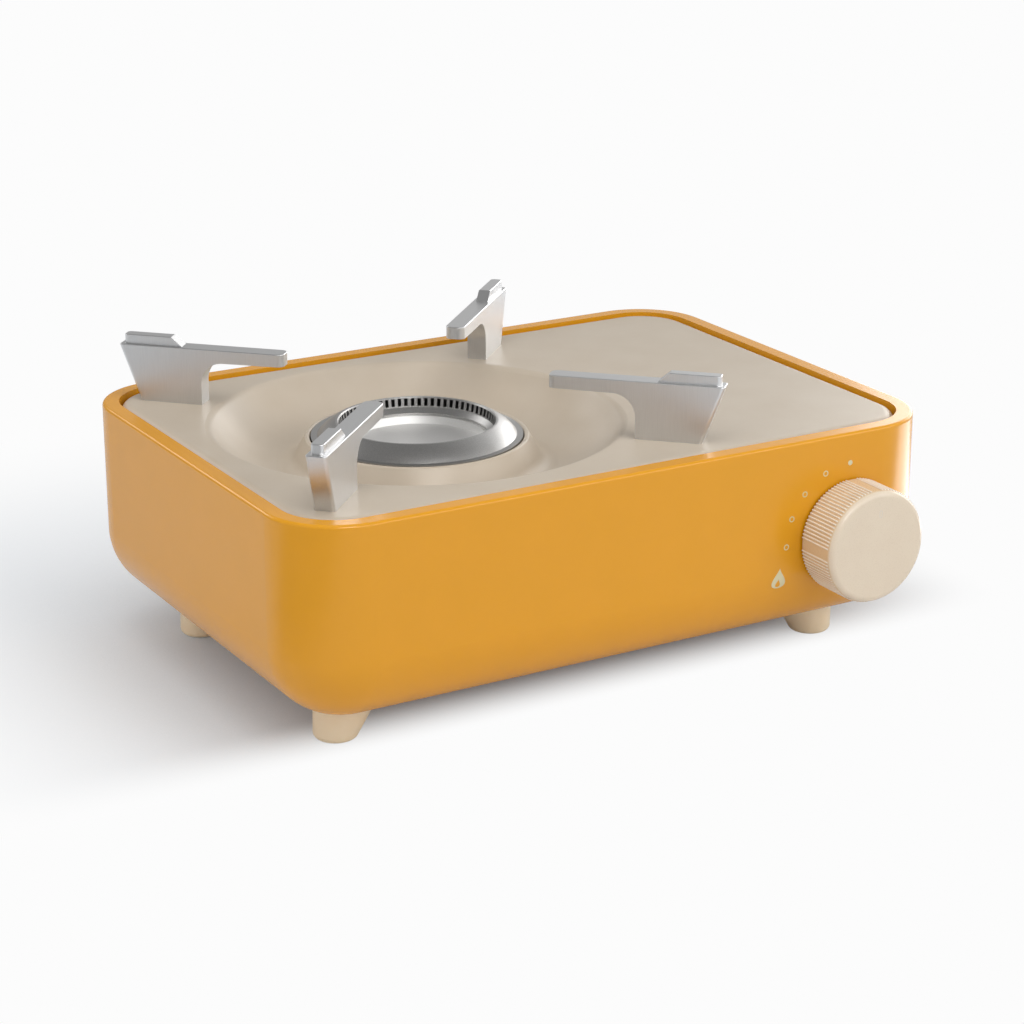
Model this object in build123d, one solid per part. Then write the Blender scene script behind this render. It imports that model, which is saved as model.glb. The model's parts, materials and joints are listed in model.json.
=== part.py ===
from build123d import *
import os
from math import atan2, ceil, cos, degrees, hypot, radians, sin, sqrt

# Butane cassette stove, in millimetres: +X right, +Y to the rear, +Z up.
# The origin is on the floor, under the middle of the whole stove with its knob.
# The stove is a painted case on four splayed feet. A dished top plate carries the pot
# supports and lifts straight off, over a fixed ring burner. The gas cartridge lies in
# the right-hand bay, behind the regulator and the knob.

# ---------------------------------------------------------------- driving sizes
# Case
case_width = 336.0
case_depth = 242.0
case_height = 96.5          # underside to rim
case_corner = 35.0          # upright corners
case_edge = 33.0            # round from the walls into the underside
case_skin = 1.0
rim_width = 8.2             # flat band round the top opening
rim_depth = 13.0            # inner flange of the rolled rim
rim_round = 1.6
opening_corner = 26.0
ledge_width = 3.0           # return at the foot of the inner flange
vent_length = 26.0
vent_width = 3.0
vent_pitch = 8.0
vent_count = 9
rear_vent_x = 98.0

# Feet
foot_height = 19.6
foot_inset_x = 37.4         # foot axis from the side of the case
foot_inset_y = 48.0
foot_tip_radius = 9.8
foot_root_radius = 15.0
foot_splay = 6.2            # how far the tip stands outboard of the root
foot_round = 2.8
foot_recess_radius = 3.9
foot_recess_depth = 10.0
foot_screw_radius = 2.0
foot_nut_flats = 7.0
foot_nut_height = 2.4

# Top plate
plate_skin = 1.0
plate_gap = 0.8             # running gap inside the rim
plate_drop = 0.8            # plate below the rim
plate_roll = 5.0            # rolled edge
pad_height = 1.0
pad_width = 2.4
pad_length = 12.0
pad_spread = 110.0

# Dish round the burner
burner_offset_y = 1.3       # burner centre behind the middle of the case
dish_margin = 12.7          # plate's left edge to the dish
bay_margin = 16.3           # dish to the heat-shield partition
dish_roll = 4.5
dish_curve = 44.9
dish_depth = 20.8
valley_curve = 8.4
collar_slope = 62.0         # degrees from level
collar_lip = 1.3

# Ring burner
ring_radius = 50.0          # outer edge of the flange
ring_drop = 6.9             # flange below the plate
ring_skin = 1.2
ring_gap = 0.4              # between flange and collar
slope_radius = 47.0
slope_bulge = 0.7
crest_radius = 38.3
crest_drop = 0.25
port_radius = 36.9          # inner wall at the top of the ports
port_foot_radius = 36.2
port_count = 72
port_width = 1.75
port_top = 0.9
port_bottom = 5.2
ring_ledge_radius = 33.7
ring_ledge_drop = 7.4
bowl_radius = 31.7
bowl_drop = 12.2
bowl_dish = 1.8
pan_radius = 47.8
pan_skin = 1.5
pan_drop = 18.0             # where the outer wall turns into the bottom cone
pan_seat_radius = 20.0
neck_wall = 2.0
neck_length = 8.0
seat_drop = 31.3            # burner seat on its bracket, below the plate

# Gas path
tube_radius = 11.0
tube_skin = 1.0
tube_height = 50.0          # axis of the mixing tube above the floor
mouth_gap = 17.7            # bell mouth from the valve block
mouth_radius = 13.0
mouth_length = 10.0
throat_radius = 7.5
diffuser_length = 55.0
jet_gap = 2.5
jet_radius = 4.0
jet_length = 7.0
jet_bore = 0.6
jet_boss_radius = 5.5

# Knob, on the front wall
knob_inset = 53.4           # stem axis from the right side of the case
knob_height = 47.2          # above the underside of the case
knob_radius = 26.85
knob_projection = 22.8
knob_gap = 1.0
knob_wall = 2.4
knob_round = 3.0
knob_boss_radius = 6.5
knob_boss_start = 4.0
knob_clip_wall = 0.8
knob_clip_width = 5.0
rib_radius = 0.38
rib_proud = 0.5
rib_count = 22              # in each quarter
rib_pitch = 3.64            # degrees
rib_run_out = 1.2
rib_stop = 1.9              # ribs end this far behind the face
knob_travel = 112.5         # degrees from off to ignite
stem_radius = 3.0
stem_flat = 0.8
stem_reach = 15.0           # in front of the wall
running_gap = 0.05
bush_radius = 6.0
bush_flange = 8.5
bush_flange_height = 0.8
bush_length = 3.0
cam_radius = 7.0
cam_lift = 5.0
cam_dwell = 30.0            # degrees held at full lift
cam_start = 3.5             # behind the outside of the front wall
cam_width = 5.0

# Igniter
igniter_length = 23.0
igniter_depth = 9.6
igniter_height = 14.0
igniter_offset = 18.6       # from the stem axis to the igniter's face
plunger_radius = 3.0
plunger_gap = 0.5
plunger_hidden = 8.0
electrode_bearing = -120.0
electrode_reach = 27.0
ceramic_radius = 2.6
ceramic_foot = 42.0         # below the plate
ceramic_head = 10.5
pin_radius = 0.8
pin_head = 5.0
spark_gap = 3.2
lead_radius = 1.4
lead_bend = 12.0
lead_level = 40.0

# Regulator
valve_width = 36.0
valve_start = 12.0          # block's front face behind the outside of the front wall
valve_length = 26.0
valve_low = 22.4            # below the stem axis
valve_high = 22.0           # above the stem axis
valve_bore_depth = 8.0
socket_radius = 4.5
socket_depth = 6.0
seal_height = 1.5
boss_radius = 10.0
boss_length = 7.0
chamber_radius = 19.0
chamber_base = 3.5
diaphragm_height = 0.6
cap_flange = 1.4
cap_dome_radius = 12.0
cap_height = 9.0
cap_wall = 1.4
cap_screw_circle = 15.6
cap_screw_radius = 1.2
cap_screw_head = 2.2
cap_screw_height = 1.4
spring_radius = 4.0
spring_wire = 0.5
spring_turns = 5
magnet_radius = 20.0
magnet_length = 4.0
guide_width = 6.0
guide_reach = 11.0

# Cartridge bay
cartridge_radius = 33.5
cradle_gap = 0.5
cradle_half_width = 19.0
cradle_start = -30.0
cradle_length = 100.0
bay_half_width = 46.6       # stem axis to the partition
partition_drop = 12.0       # below the plate

# Pot supports
support_thickness = 9.5
support_tip = 64.3          # radius of the arm's tip from the burner axis
support_foot_gap = 6.5      # dish to the support's foot
support_foot_length = 31.2
support_lean = 10.1         # outer face leans out by this at arm height
support_rise = 27.5         # arm above the plate
support_bearings = {"front_right": -45, "rear_right": 45, "rear_left": 135, "front_left": -135}
arm_depth = 6.3
arm_taper = 0.3
arm_fillet = 10.9
arm_tip_round = 3.2
support_back_round = 1.6
support_edge = 0.4
stud_height = 4.5           # raised block at the outer end
stud_inset = 1.8
stud_end_inset = 2.2
stud_round = 1.8
stud_start = 10.0           # ramp's foot beyond the foot's inner face
stud_ramp = 5.3
support_screw_inset = 6.5   # first screw beyond the foot's inner face
support_screw_pitch = 16.0
support_screw_radius = 2.0
support_screw_head = 3.5
support_screw_height = 2.4
support_screw_length = 9.0

# Sheet brackets and screws
sheet = 1.2
flange_reach = 12.0
bracket_half_width = 19.0
bracket_leg_half_width = 14.0
bracket_span = 90.0
mount_half_width = 7.0
mount_shift = 11.0          # regulator bracket left of the stem axis
part_gap = 0.3              # between neighbouring parts that don't touch
screw_radius = 1.5
screw_gap = 0.1
screw_head_radius = 2.8
screw_head_height = 1.8

# ---------------------------------------------------------------- derived places
case_y = knob_projection / 2
front_y = case_y - case_depth / 2
rear_y = case_y + case_depth / 2
rim_z = foot_height + case_height
plate_z = rim_z - plate_drop
floor_z = foot_height + case_skin
ledge_under = rim_z - rim_depth
ledge_z = ledge_under + case_skin
pad_z = ledge_z + pad_height
opening_width = case_width - 2 * rim_width
opening_depth = case_depth - 2 * rim_width
plate_width = opening_width - 2 * plate_gap
plate_depth = opening_depth - 2 * plate_gap
plate_corner = opening_corner - plate_gap
knob_x = case_width / 2 - knob_inset
knob_z = foot_height + knob_height
partition_x = knob_x - bay_half_width
dish_radius = (plate_width / 2 + partition_x - dish_margin - bay_margin) / 2
burner_x = partition_x - bay_margin - dish_radius
burner_y = case_y + burner_offset_y
support_inner = dish_radius + support_foot_gap
support_outer = support_inner + support_foot_length
support_top_outer = support_outer + support_lean
stud_foot = support_inner + stud_start
first_support_screw = support_inner + support_screw_inset
support_screw_places = (first_support_screw, first_support_screw + support_screw_pitch)
flat_half_y = case_depth / 2 - case_edge
ring_hole = ring_radius + ring_gap
neck_radius = tube_radius + neck_wall
seat_z = plate_z - seat_drop
elbow_radius = seat_z - neck_length - tube_height
valve_front = front_y + valve_start
valve_rear = valve_front + valve_length
chamber_y = (valve_front + valve_rear) / 2
chamber_z = knob_z + valve_high + chamber_base
cap_z = chamber_z + diaphragm_height
floor_flat_front = case_y - flat_half_y
floor_flat_rear = case_y + flat_half_y
mount_y = floor_flat_front + sheet

# The mixing tube runs from the burner to the middle of the valve block's left face.
tube_run_x = knob_x - valve_width / 2 - burner_x
tube_run_y = chamber_y - burner_y
tube_bearing = degrees(atan2(tube_run_y, tube_run_x))
mouth_reach = hypot(tube_run_x, tube_run_y) - mouth_gap
burner_place = Pos(burner_x, burner_y, 0)
tube_place = burner_place * Rot(0, 0, tube_bearing)
electrode_x = burner_x + electrode_reach * cos(radians(electrode_bearing))
electrode_y = burner_y + electrode_reach * sin(radians(electrode_bearing))
chamber_place = Pos(knob_x, chamber_y, 0)
# The front wall as a drawing plane: x right, y up, z out towards the user.
panel = Plane(origin=(knob_x, front_y, knob_z), x_dir=(1, 0, 0), z_dir=(0, -1, 0))
# The cartridge socket's drawing plane: z points into the cartridge bay.
socket = Plane(origin=(knob_x, valve_rear, knob_z), x_dir=(-1, 0, 0), z_dir=(0, 1, 0))


# ---------------------------------------------------------------- helpers
def rounded_block(width, depth, corner, low, high):
    """Upright block with round corners about the middle of the case."""
    outline = RectangleRounded(width, depth, corner)
    return extrude(Pos(0, case_y, low) * outline, high - low)


def round_top(block, radius):
    return fillet(block.faces().sort_by(Axis.Z)[-1].edges(), radius)


def round_base(block, radius):
    return fillet(block.faces().sort_by(Axis.Z)[0].edges(), radius)


def span(x0, x1, y0, y1, z0, z1):
    """Box between two corners."""
    return Pos((x0 + x1) / 2, (y0 + y1) / 2, (z0 + z1) / 2) * Box(x1 - x0, y1 - y0, z1 - z0)


def rod(radius, low, high):
    """Upright cylinder between two heights."""
    return Pos(0, 0, (low + high) / 2) * Cylinder(radius, high - low)


def tube(radius, bore, low, high):
    return rod(radius, low, high) - rod(bore, low, high)


def face_through(points):
    return make_face(Polyline(*points, close=True))


def turned(outline):
    """Solid of revolution about Z from a face drawn as (radius, height)."""
    return revolve(Plane.XZ * outline, Axis.Z)


def polar(radius, bearing):
    angle = radians(bearing)
    return radius * cos(angle), radius * sin(angle)


def offset_point(center, radius, bearing):
    x, y = polar(radius, bearing)
    return center[0] + x, center[1] + y


def arc(center, radius, start, end):
    """Circular arc between two bearings in degrees."""
    points = [offset_point(center, radius, bearing) for bearing in (start, (start + end) / 2, end)]
    return ThreePointArc(*points)


def bearing_of(start, end):
    return degrees(atan2(end[1] - start[1], end[0] - start[0]))


def group(pieces):
    """Separate solids kept as one sub-part."""
    return Compound(children=list(pieces))


# ---------------------------------------------------------------- fastener places
def foot_places():
    x = case_width / 2 - foot_inset_x
    y = case_depth / 2 - foot_inset_y
    signs = {"front_left": (-1, -1), "front_right": (1, -1), "rear_left": (-1, 1), "rear_right": (1, 1)}
    return {name: (sx * x, case_y + sy * y, sx) for name, (sx, sy) in signs.items()}


def partition_screw_places():
    x = partition_x + sheet + flange_reach / 2
    return [(x, case_y - flat_half_y / 2), (x, case_y + flat_half_y / 2)]


def bracket_screw_places():
    x = bracket_span / 2 + flange_reach / 2
    y = bracket_leg_half_width / 2
    return [(burner_x + sx * x, burner_y + sy * y) for sx in (-1, 1) for sy in (-1, 1)]


def cradle_screw_places():
    margin = cradle_length / 5
    ends = (cradle_start + margin, cradle_start + cradle_length - margin)
    return [(knob_x, y) for y in ends]


def mount_screw_places():
    return [(knob_x - mount_shift, mount_y + flange_reach / 2)]


def floor_screw_places():
    places = partition_screw_places() + bracket_screw_places()
    return places + cradle_screw_places() + mount_screw_places()


def floor_screw():
    """Screw from under the floor, with its head against the underside of the case."""
    head = rod(screw_head_radius, foot_height - screw_head_height, foot_height)
    return head + rod(screw_radius, foot_height, floor_z + sheet + screw_radius)


def threaded_hole(places):
    return [Pos(x, y, 0) * rod(screw_radius, floor_z, floor_z + sheet) for x, y in places]


# ---------------------------------------------------------------- case
def case_block():
    """Outside of the case as a solid block."""
    block = rounded_block(case_width, case_depth, case_corner, foot_height, rim_z)
    return round_base(block, case_edge)


def case_vents():
    """Air slots through the floor below the burner and through the rear wall."""
    slot = SlotOverall(vent_length, vent_width)
    first = -(vent_count - 1) / 2 * vent_pitch
    cutters = []
    for index in range(vent_count):
        shift = first + index * vent_pitch
        floor = Pos(burner_x, burner_y + shift, foot_height - case_skin)
        cutters.append(extrude(floor * slot, 3 * case_skin))
        origin = (rear_vent_x + shift, rear_y + case_skin, knob_z)
        wall = Plane(origin=origin, x_dir=(0, 0, 1), z_dir=(0, -1, 0))
        cutters.append(extrude(wall * slot, 3 * case_skin))
    return cutters


def case_holes():
    holes = [panel * rod(bush_radius, -2 * case_skin, case_skin)]
    for x, y, _ in foot_places().values():
        holes.append(Pos(x, y, 0) * rod(foot_screw_radius + screw_gap, 0, floor_z + case_skin))
    for x, y in floor_screw_places():
        holes.append(Pos(x, y, 0) * rod(screw_radius + screw_gap, 0, floor_z + case_skin))
    return holes


def case_shell():
    """Pressed tub with a wide underside round, a rolled rim and a ledge for the plate."""
    outside = round_top(case_block(), rim_round)
    inner_width = case_width - 2 * case_skin
    inner_depth = case_depth - 2 * case_skin
    inner_corner = case_corner - case_skin
    hollow = rounded_block(inner_width, inner_depth, inner_corner, floor_z, rim_z - case_skin)
    hollow = round_base(hollow, case_edge - case_skin)
    flange_width = opening_width + 2 * case_skin
    flange_depth = opening_depth + 2 * case_skin
    flange = rounded_block(flange_width, flange_depth, opening_corner + case_skin, ledge_under, rim_z)
    opening = rounded_block(opening_width, opening_depth, opening_corner, ledge_z, rim_z)
    mouth_width = opening_width - 2 * ledge_width
    mouth_depth = opening_depth - 2 * ledge_width
    mouth = rounded_block(mouth_width, mouth_depth, opening_corner - ledge_width, ledge_under, rim_z)
    return outside - (hollow - flange) - opening - mouth - case_holes() - case_vents()


def foot_ring(x, y, side, height):
    """Section of a foot at a height; the root sits inboard of the tip."""
    share = height / foot_height
    radius = foot_tip_radius + (foot_root_radius - foot_tip_radius) * share
    return Pos(x - side * foot_splay * share, y, height) * Circle(radius)


def foot(x, y, side):
    """Splayed foot, shaped to the case's underside, with a recess for its screw."""
    body = loft([foot_ring(x, y, side, 0), foot_ring(x, y, side, foot_height + foot_round)])
    body = round_base(body, foot_round)
    recess = Pos(x, y, 0) * rod(foot_recess_radius, 0, foot_recess_depth)
    hole = Pos(x, y, 0) * rod(foot_screw_radius + screw_gap, 0, foot_height)
    return body - case_block() - recess - hole


def foot_screw():
    head = rod(foot_recess_radius - 2 * screw_gap, foot_recess_depth - foot_nut_height, foot_recess_depth)
    return head + rod(foot_screw_radius, foot_recess_depth, floor_z + 1.5 * foot_nut_height)


def foot_nut():
    outline = RegularPolygon(foot_nut_flats / 2, 6, major_radius=False)
    body = extrude(Pos(0, 0, floor_z) * outline, foot_nut_height)
    return body - rod(foot_screw_radius, floor_z, floor_z + foot_nut_height)


def plate_pads():
    """Bumpers on the ledge that the plate's skirt closes onto."""
    middle_x = (opening_width + opening_width - 2 * ledge_width) / 4
    middle_y = (opening_depth + opening_depth - 2 * ledge_width) / 4
    long_x = Box(pad_length, pad_width, pad_height)
    long_y = Box(pad_width, pad_length, pad_height)
    z = ledge_z + pad_height / 2
    ends = [Pos(x, case_y + y, z) * long_x for x in (-pad_spread, pad_spread) for y in (-middle_y, middle_y)]
    sides = [Pos(x, case_y, z) * long_y for x in (-middle_x, middle_x)]
    return group(ends + sides)


# ---------------------------------------------------------------- sheet brackets
def partition():
    """Upright heat shield between the burner and the cartridge bay."""
    high = plate_z - partition_drop
    wall = span(partition_x, partition_x + sheet, floor_flat_front, floor_flat_rear, floor_z, high)
    foot_edge = partition_x + sheet + flange_reach
    base = span(partition_x, foot_edge, floor_flat_front, floor_flat_rear, floor_z, floor_z + sheet)
    clearance = tube_place * (Rot(0, 90, 0) * rod(mouth_radius + 2 * sheet, 0, mouth_reach))
    notch = Pos(0, 0, tube_height) * clearance
    return wall + base - notch - threaded_hole(partition_screw_places())


def burner_bracket():
    """Bridge on two legs that carries the burner."""
    half = bracket_span / 2
    leg = bracket_leg_half_width
    top = span(-half, half, -bracket_half_width, bracket_half_width, seat_z - sheet, seat_z)
    parts = []
    for side in (-1, 1):
        outer = sorted((side * half, side * (half - sheet)))
        toe = sorted((side * (half - sheet), side * (half + flange_reach)))
        parts.append(span(outer[0], outer[1], -leg, leg, floor_z, seat_z))
        parts.append(span(toe[0], toe[1], -leg, leg, floor_z, floor_z + sheet))
    hole = rod(neck_radius + part_gap, 0, plate_z)
    body = burner_place * (top + parts - hole)
    return body - threaded_hole(bracket_screw_places())


def cartridge_cradle():
    """Base plate with two saddles that the cartridge rests in."""
    x0 = knob_x - cradle_half_width
    x1 = knob_x + cradle_half_width
    end = cradle_start + cradle_length
    base = span(x0, x1, cradle_start, end, floor_z, floor_z + sheet)
    saddles = [
        span(x0, x1, cradle_start, cradle_start + sheet, floor_z, knob_z),
        span(x0, x1, end - sheet, end, floor_z, knob_z),
    ]
    bed = socket * rod(cartridge_radius + cradle_gap, 0, case_depth)
    return base + saddles - bed - threaded_hole(cradle_screw_places())


def regulator_bracket():
    """Stepped bracket between the floor and the regulator's underside."""
    under = knob_z - valve_low
    x0 = knob_x - mount_shift - mount_half_width
    x1 = knob_x - mount_shift + mount_half_width
    wall = span(x0, x1, mount_y - sheet, mount_y, floor_z, under)
    base = span(x0, x1, mount_y - sheet, mount_y + flange_reach, floor_z, floor_z + sheet)
    top = span(x0, x1, mount_y - sheet - flange_reach, mount_y, under - sheet, under)
    return wall + base + top - threaded_hole(mount_screw_places())


# ---------------------------------------------------------------- burner
def burner_head():
    """Pressed ring with a bulged slope outside and a row of flame ports inside."""
    crest = (crest_radius, -crest_drop)
    foot_point = (slope_radius, -ring_drop)
    chord = hypot(crest[0] - foot_point[0], crest[1] - foot_point[1])
    middle = ((crest[0] + foot_point[0]) / 2, (crest[1] + foot_point[1]) / 2)
    out_r = (crest[1] - foot_point[1]) / chord * slope_bulge
    out_z = (foot_point[0] - crest[0]) / chord * slope_bulge
    under = -ring_drop - ring_skin
    inner_crest = (crest_radius + ring_skin / 2, -crest_drop - ring_skin)
    inner_foot = (slope_radius - ring_skin, under)
    inner_middle = (middle[0] + out_r - ring_skin * 0.7, middle[1] + out_z - ring_skin * 0.9)
    lip_z = -ring_ledge_drop - 2 * ring_skin
    edges = [
        Line((ring_radius, under), (ring_radius, -ring_drop)),
        Line((ring_radius, -ring_drop), foot_point),
        ThreePointArc(foot_point, (middle[0] + out_r, middle[1] + out_z), crest),
        Line(crest, (port_radius + port_top / 2, -crest_drop)),
        Line((port_radius + port_top / 2, -crest_drop), (port_radius, -port_top)),
        Line((port_radius, -port_top), (port_foot_radius, -port_bottom)),
        Line((port_foot_radius, -port_bottom), (ring_ledge_radius, -ring_ledge_drop)),
        Line((ring_ledge_radius, -ring_ledge_drop), (ring_ledge_radius, lip_z)),
        Line((ring_ledge_radius, lip_z), (ring_ledge_radius + ring_skin, lip_z)),
        Line((ring_ledge_radius + ring_skin, lip_z), (ring_ledge_radius + ring_skin, -ring_ledge_drop - ring_skin / 2)),
        Line(
            (ring_ledge_radius + ring_skin, -ring_ledge_drop - ring_skin / 2),
            (port_foot_radius + ring_skin, -port_bottom - ring_skin / 2),
        ),
        Line((port_foot_radius + ring_skin, -port_bottom - ring_skin / 2), (port_radius + ring_skin, inner_crest[1])),
        Line((port_radius + ring_skin, inner_crest[1]), inner_crest),
        ThreePointArc(inner_crest, inner_middle, inner_foot),
        Line(inner_foot, (ring_radius, under)),
    ]
    ring = turned(make_face(edges))
    port = Box(2 * ring_skin, port_width, port_bottom - port_top)
    port = Pos(port_radius + ring_skin / 2, 0, -(port_top + port_bottom) / 2) * port
    ports = [Rot(0, 0, index * 360 / port_count) * port for index in range(port_count)]
    return Pos(0, 0, plate_z) * burner_place * (ring - ports)


def burner_pan():
    """Spun cup below the ring, with the neck that takes the mixing tube."""
    top = -ring_drop - ring_skin
    seat = -seat_drop
    outline = face_through(
        [
            (pan_radius, top),
            (pan_radius, -pan_drop),
            (pan_seat_radius, seat),
            (neck_radius, seat),
            (neck_radius, seat - neck_length),
            (tube_radius, seat - neck_length),
            (tube_radius, seat + pan_skin),
            (pan_seat_radius, seat + pan_skin),
            (pan_radius - pan_skin, -pan_drop + pan_skin / 2),
            (pan_radius - pan_skin, top),
        ]
    )
    hole = Pos(electrode_x, electrode_y, 0) * rod(ceramic_radius, 0, plate_z)
    return Pos(0, 0, plate_z) * burner_place * turned(outline) - hole


def burner_bowl():
    """Polished bowl inside the ring, hung from the ring's inner lip."""
    lip = -ring_ledge_drop - 2 * ring_skin
    rise = (ring_ledge_radius - bowl_radius) / 2
    low = -bowl_drop
    edges = [
        Line((ring_ledge_radius, lip), (ring_ledge_radius, -ring_ledge_drop - ring_skin)),
        Line((ring_ledge_radius, -ring_ledge_drop - ring_skin), (ring_ledge_radius - rise, -ring_ledge_drop - ring_skin)),
        Line((ring_ledge_radius - rise, -ring_ledge_drop - ring_skin), (bowl_radius, low)),
        ThreePointArc((bowl_radius, low), (bowl_radius / 2, low - bowl_dish * 0.75), (0, low - bowl_dish)),
        Line((0, low - bowl_dish), (0, low - bowl_dish - ring_skin)),
        ThreePointArc(
            (0, low - bowl_dish - ring_skin),
            (bowl_radius / 2, low - bowl_dish * 0.75 - ring_skin),
            (bowl_radius, low - ring_skin),
        ),
        Line((bowl_radius, low - ring_skin), (ring_ledge_radius, lip)),
    ]
    hole = Pos(electrode_x, electrode_y, 0) * rod(ceramic_radius, 0, plate_z)
    return Pos(0, 0, plate_z) * burner_place * turned(make_face(edges)) - hole


def mixing_tube():
    """Venturi with a bell mouth, then an elbow up into the burner's neck."""
    wall = tube_skin
    neck_start = mouth_reach - mouth_length
    diffuser_start = neck_start - diffuser_length
    outer = [
        (tube_radius, elbow_radius),
        (tube_radius, diffuser_start),
        (throat_radius + wall, neck_start),
        (mouth_radius, mouth_reach),
    ]
    inner = [(radius - wall, reach) for radius, reach in reversed(outer)]
    run = Rot(0, 90, 0) * turned(face_through(outer + inner))
    start = Plane(origin=(elbow_radius, 0, 0), x_dir=(0, 1, 0), z_dir=(-1, 0, 0))
    bend = Plane.XZ * arc((elbow_radius, elbow_radius), elbow_radius, 270, 180)
    ring = Circle(tube_radius) - Circle(tube_radius - wall)
    elbow = sweep(start * ring, path=bend)
    riser = tube(tube_radius, tube_radius - wall, elbow_radius, elbow_radius + neck_length)
    return Pos(0, 0, tube_height) * tube_place * (run + elbow + riser)


# ---------------------------------------------------------------- igniter
def igniter_body():
    """Piezo igniter against the inside of the front wall, bored for its plunger."""
    x = -igniter_offset - igniter_length / 2
    z = -cam_start - cam_width / 2
    depth = 2 * (-case_skin - z)
    block = Pos(x, 0, z) * Box(igniter_length, igniter_height, depth)
    bore_length = plunger_hidden + cam_lift + plunger_gap
    bore = Pos(-igniter_offset, 0, z) * (Rot(0, -90, 0) * rod(plunger_radius + running_gap, 0, bore_length))
    return panel * (block - bore)


def igniter_plunger():
    """Push rod between the cam and the igniter, with a domed tip."""
    tip = -cam_radius - plunger_gap
    center = tip - plunger_radius
    z = -cam_start - cam_width / 2
    length = center + igniter_offset + plunger_hidden
    shaft = Pos(center, 0, z) * (Rot(0, -90, 0) * rod(plunger_radius, 0, length))
    return panel * (shaft + Pos(center, 0, z) * Sphere(plunger_radius))


def electrode_ceramic():
    body = rod(ceramic_radius, plate_z - ceramic_foot, plate_z - ceramic_head)
    hole = rod(pin_radius, plate_z - ceramic_foot, plate_z - ceramic_head)
    return Pos(electrode_x, electrode_y, 0) * (body - hole)


def electrode_pin():
    """Spark pin that rises from the ceramic and leans towards the ports."""
    reach = port_radius - spark_gap
    path = FilletPolyline(
        (electrode_reach, 0, plate_z - ceramic_foot),
        (electrode_reach, 0, plate_z - ceramic_head + 2 * pin_radius),
        (reach, 0, plate_z - pin_head),
        radius=2 * pin_radius,
    )
    section = Plane(origin=path @ 0, z_dir=path % 0) * Circle(pin_radius)
    return burner_place * Rot(0, 0, electrode_bearing) * sweep(section, path=path)


def igniter_lead():
    """Insulated lead from the igniter to the foot of the electrode."""
    lead_y = front_y + cam_start + cam_width / 2
    start_x = knob_x - igniter_offset - igniter_length
    path = FilletPolyline(
        (start_x, lead_y, knob_z),
        (start_x - 3 * lead_bend, lead_y, knob_z),
        (electrode_x, electrode_y - 4 * lead_bend, lead_level),
        (electrode_x, electrode_y, lead_level),
        (electrode_x, electrode_y, plate_z - ceramic_foot),
        radius=lead_bend,
    )
    section = Plane(origin=path @ 0, z_dir=path % 0) * Circle(lead_radius)
    return sweep(section, path=path)


# ---------------------------------------------------------------- knob and stem
def panel_bushing():
    flange = rod(bush_flange, 0, bush_flange_height)
    shank = rod(bush_radius, -bush_length, 0)
    return panel * (flange + shank - rod(stem_radius + running_gap, -bush_length, bush_flange_height))


def stem_section():
    """Round stem with a flat for the knob."""
    flat = Pos(0, 2 * stem_radius - stem_flat) * Rectangle(2 * stem_radius, 2 * stem_radius)
    return Circle(stem_radius) - flat


def valve_stem():
    deep = -valve_start - valve_bore_depth + plunger_gap
    shaft = rod(stem_radius, deep, knob_boss_start)
    key = extrude(Pos(0, 0, knob_boss_start) * stem_section(), stem_reach - knob_boss_start)
    return panel * (shaft + key)


def stem_cam():
    """Snail cam: its rim moves out steadily over the knob's travel."""
    steps = ceil(knob_travel / 10)
    points = []
    for step in range(steps + 1):
        share = step / steps
        points.append(polar(cam_radius + cam_lift * share, 180 - knob_travel * share))
    back = 180 - knob_travel - cam_dwell
    edges = [
        Spline(*points),
        Line(points[-1], polar(cam_radius, back)),
        arc((0, 0), cam_radius, back, -180),
    ]
    body = extrude(Pos(0, 0, -cam_start - cam_width) * make_face(edges), cam_width)
    return panel * (body - rod(stem_radius, -cam_start - cam_width, -cam_start))


def knob_ribs():
    """Grip ribs in four groups, with plain lands between them."""
    low = knob_gap
    high = knob_projection - rib_stop
    first = 45 - (rib_count - 1) / 2 * rib_pitch
    quarters = (0, 90, 180, 270)
    bearings = [quarter + first + index * rib_pitch for quarter in quarters for index in range(rib_count)]
    crown = knob_radius + rib_proud
    circles = [Pos(*polar(crown - rib_radius, bearing)) * Circle(rib_radius) for bearing in bearings]
    ribs = extrude(Pos(0, 0, low) * (Sketch() + circles), high - low)
    deep = crown - 2 * rib_radius
    envelope = [
        (deep, low),
        (crown, low),
        (crown, high - rib_run_out),
        (knob_radius, high - rib_run_out / 4),
        (deep, high),
    ]
    return ribs & turned(face_through(envelope))


def knob():
    """Round control knob, hollow behind, with a boss for the stem."""
    body = rod(knob_radius, knob_gap, knob_projection)
    body = round_top(body, knob_round)
    ceiling = knob_projection - knob_wall
    cavity = rod(knob_radius - knob_wall, 0, ceiling) - rod(knob_boss_radius, knob_boss_start, ceiling)
    bore = extrude(Pos(0, 0, knob_boss_start) * stem_section(), stem_reach - knob_boss_start)
    return panel * (body - cavity - bore + knob_ribs())


def knob_clip():
    """Spring band round the knob's boss."""
    high = knob_boss_start + knob_clip_width
    band = tube(knob_boss_radius + knob_clip_wall, knob_boss_radius, knob_boss_start, high)
    slit = Pos(knob_boss_radius, 0, (knob_boss_start + high) / 2) * Box(knob_boss_radius, 2, knob_clip_width)
    return panel * (band - slit)


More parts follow.
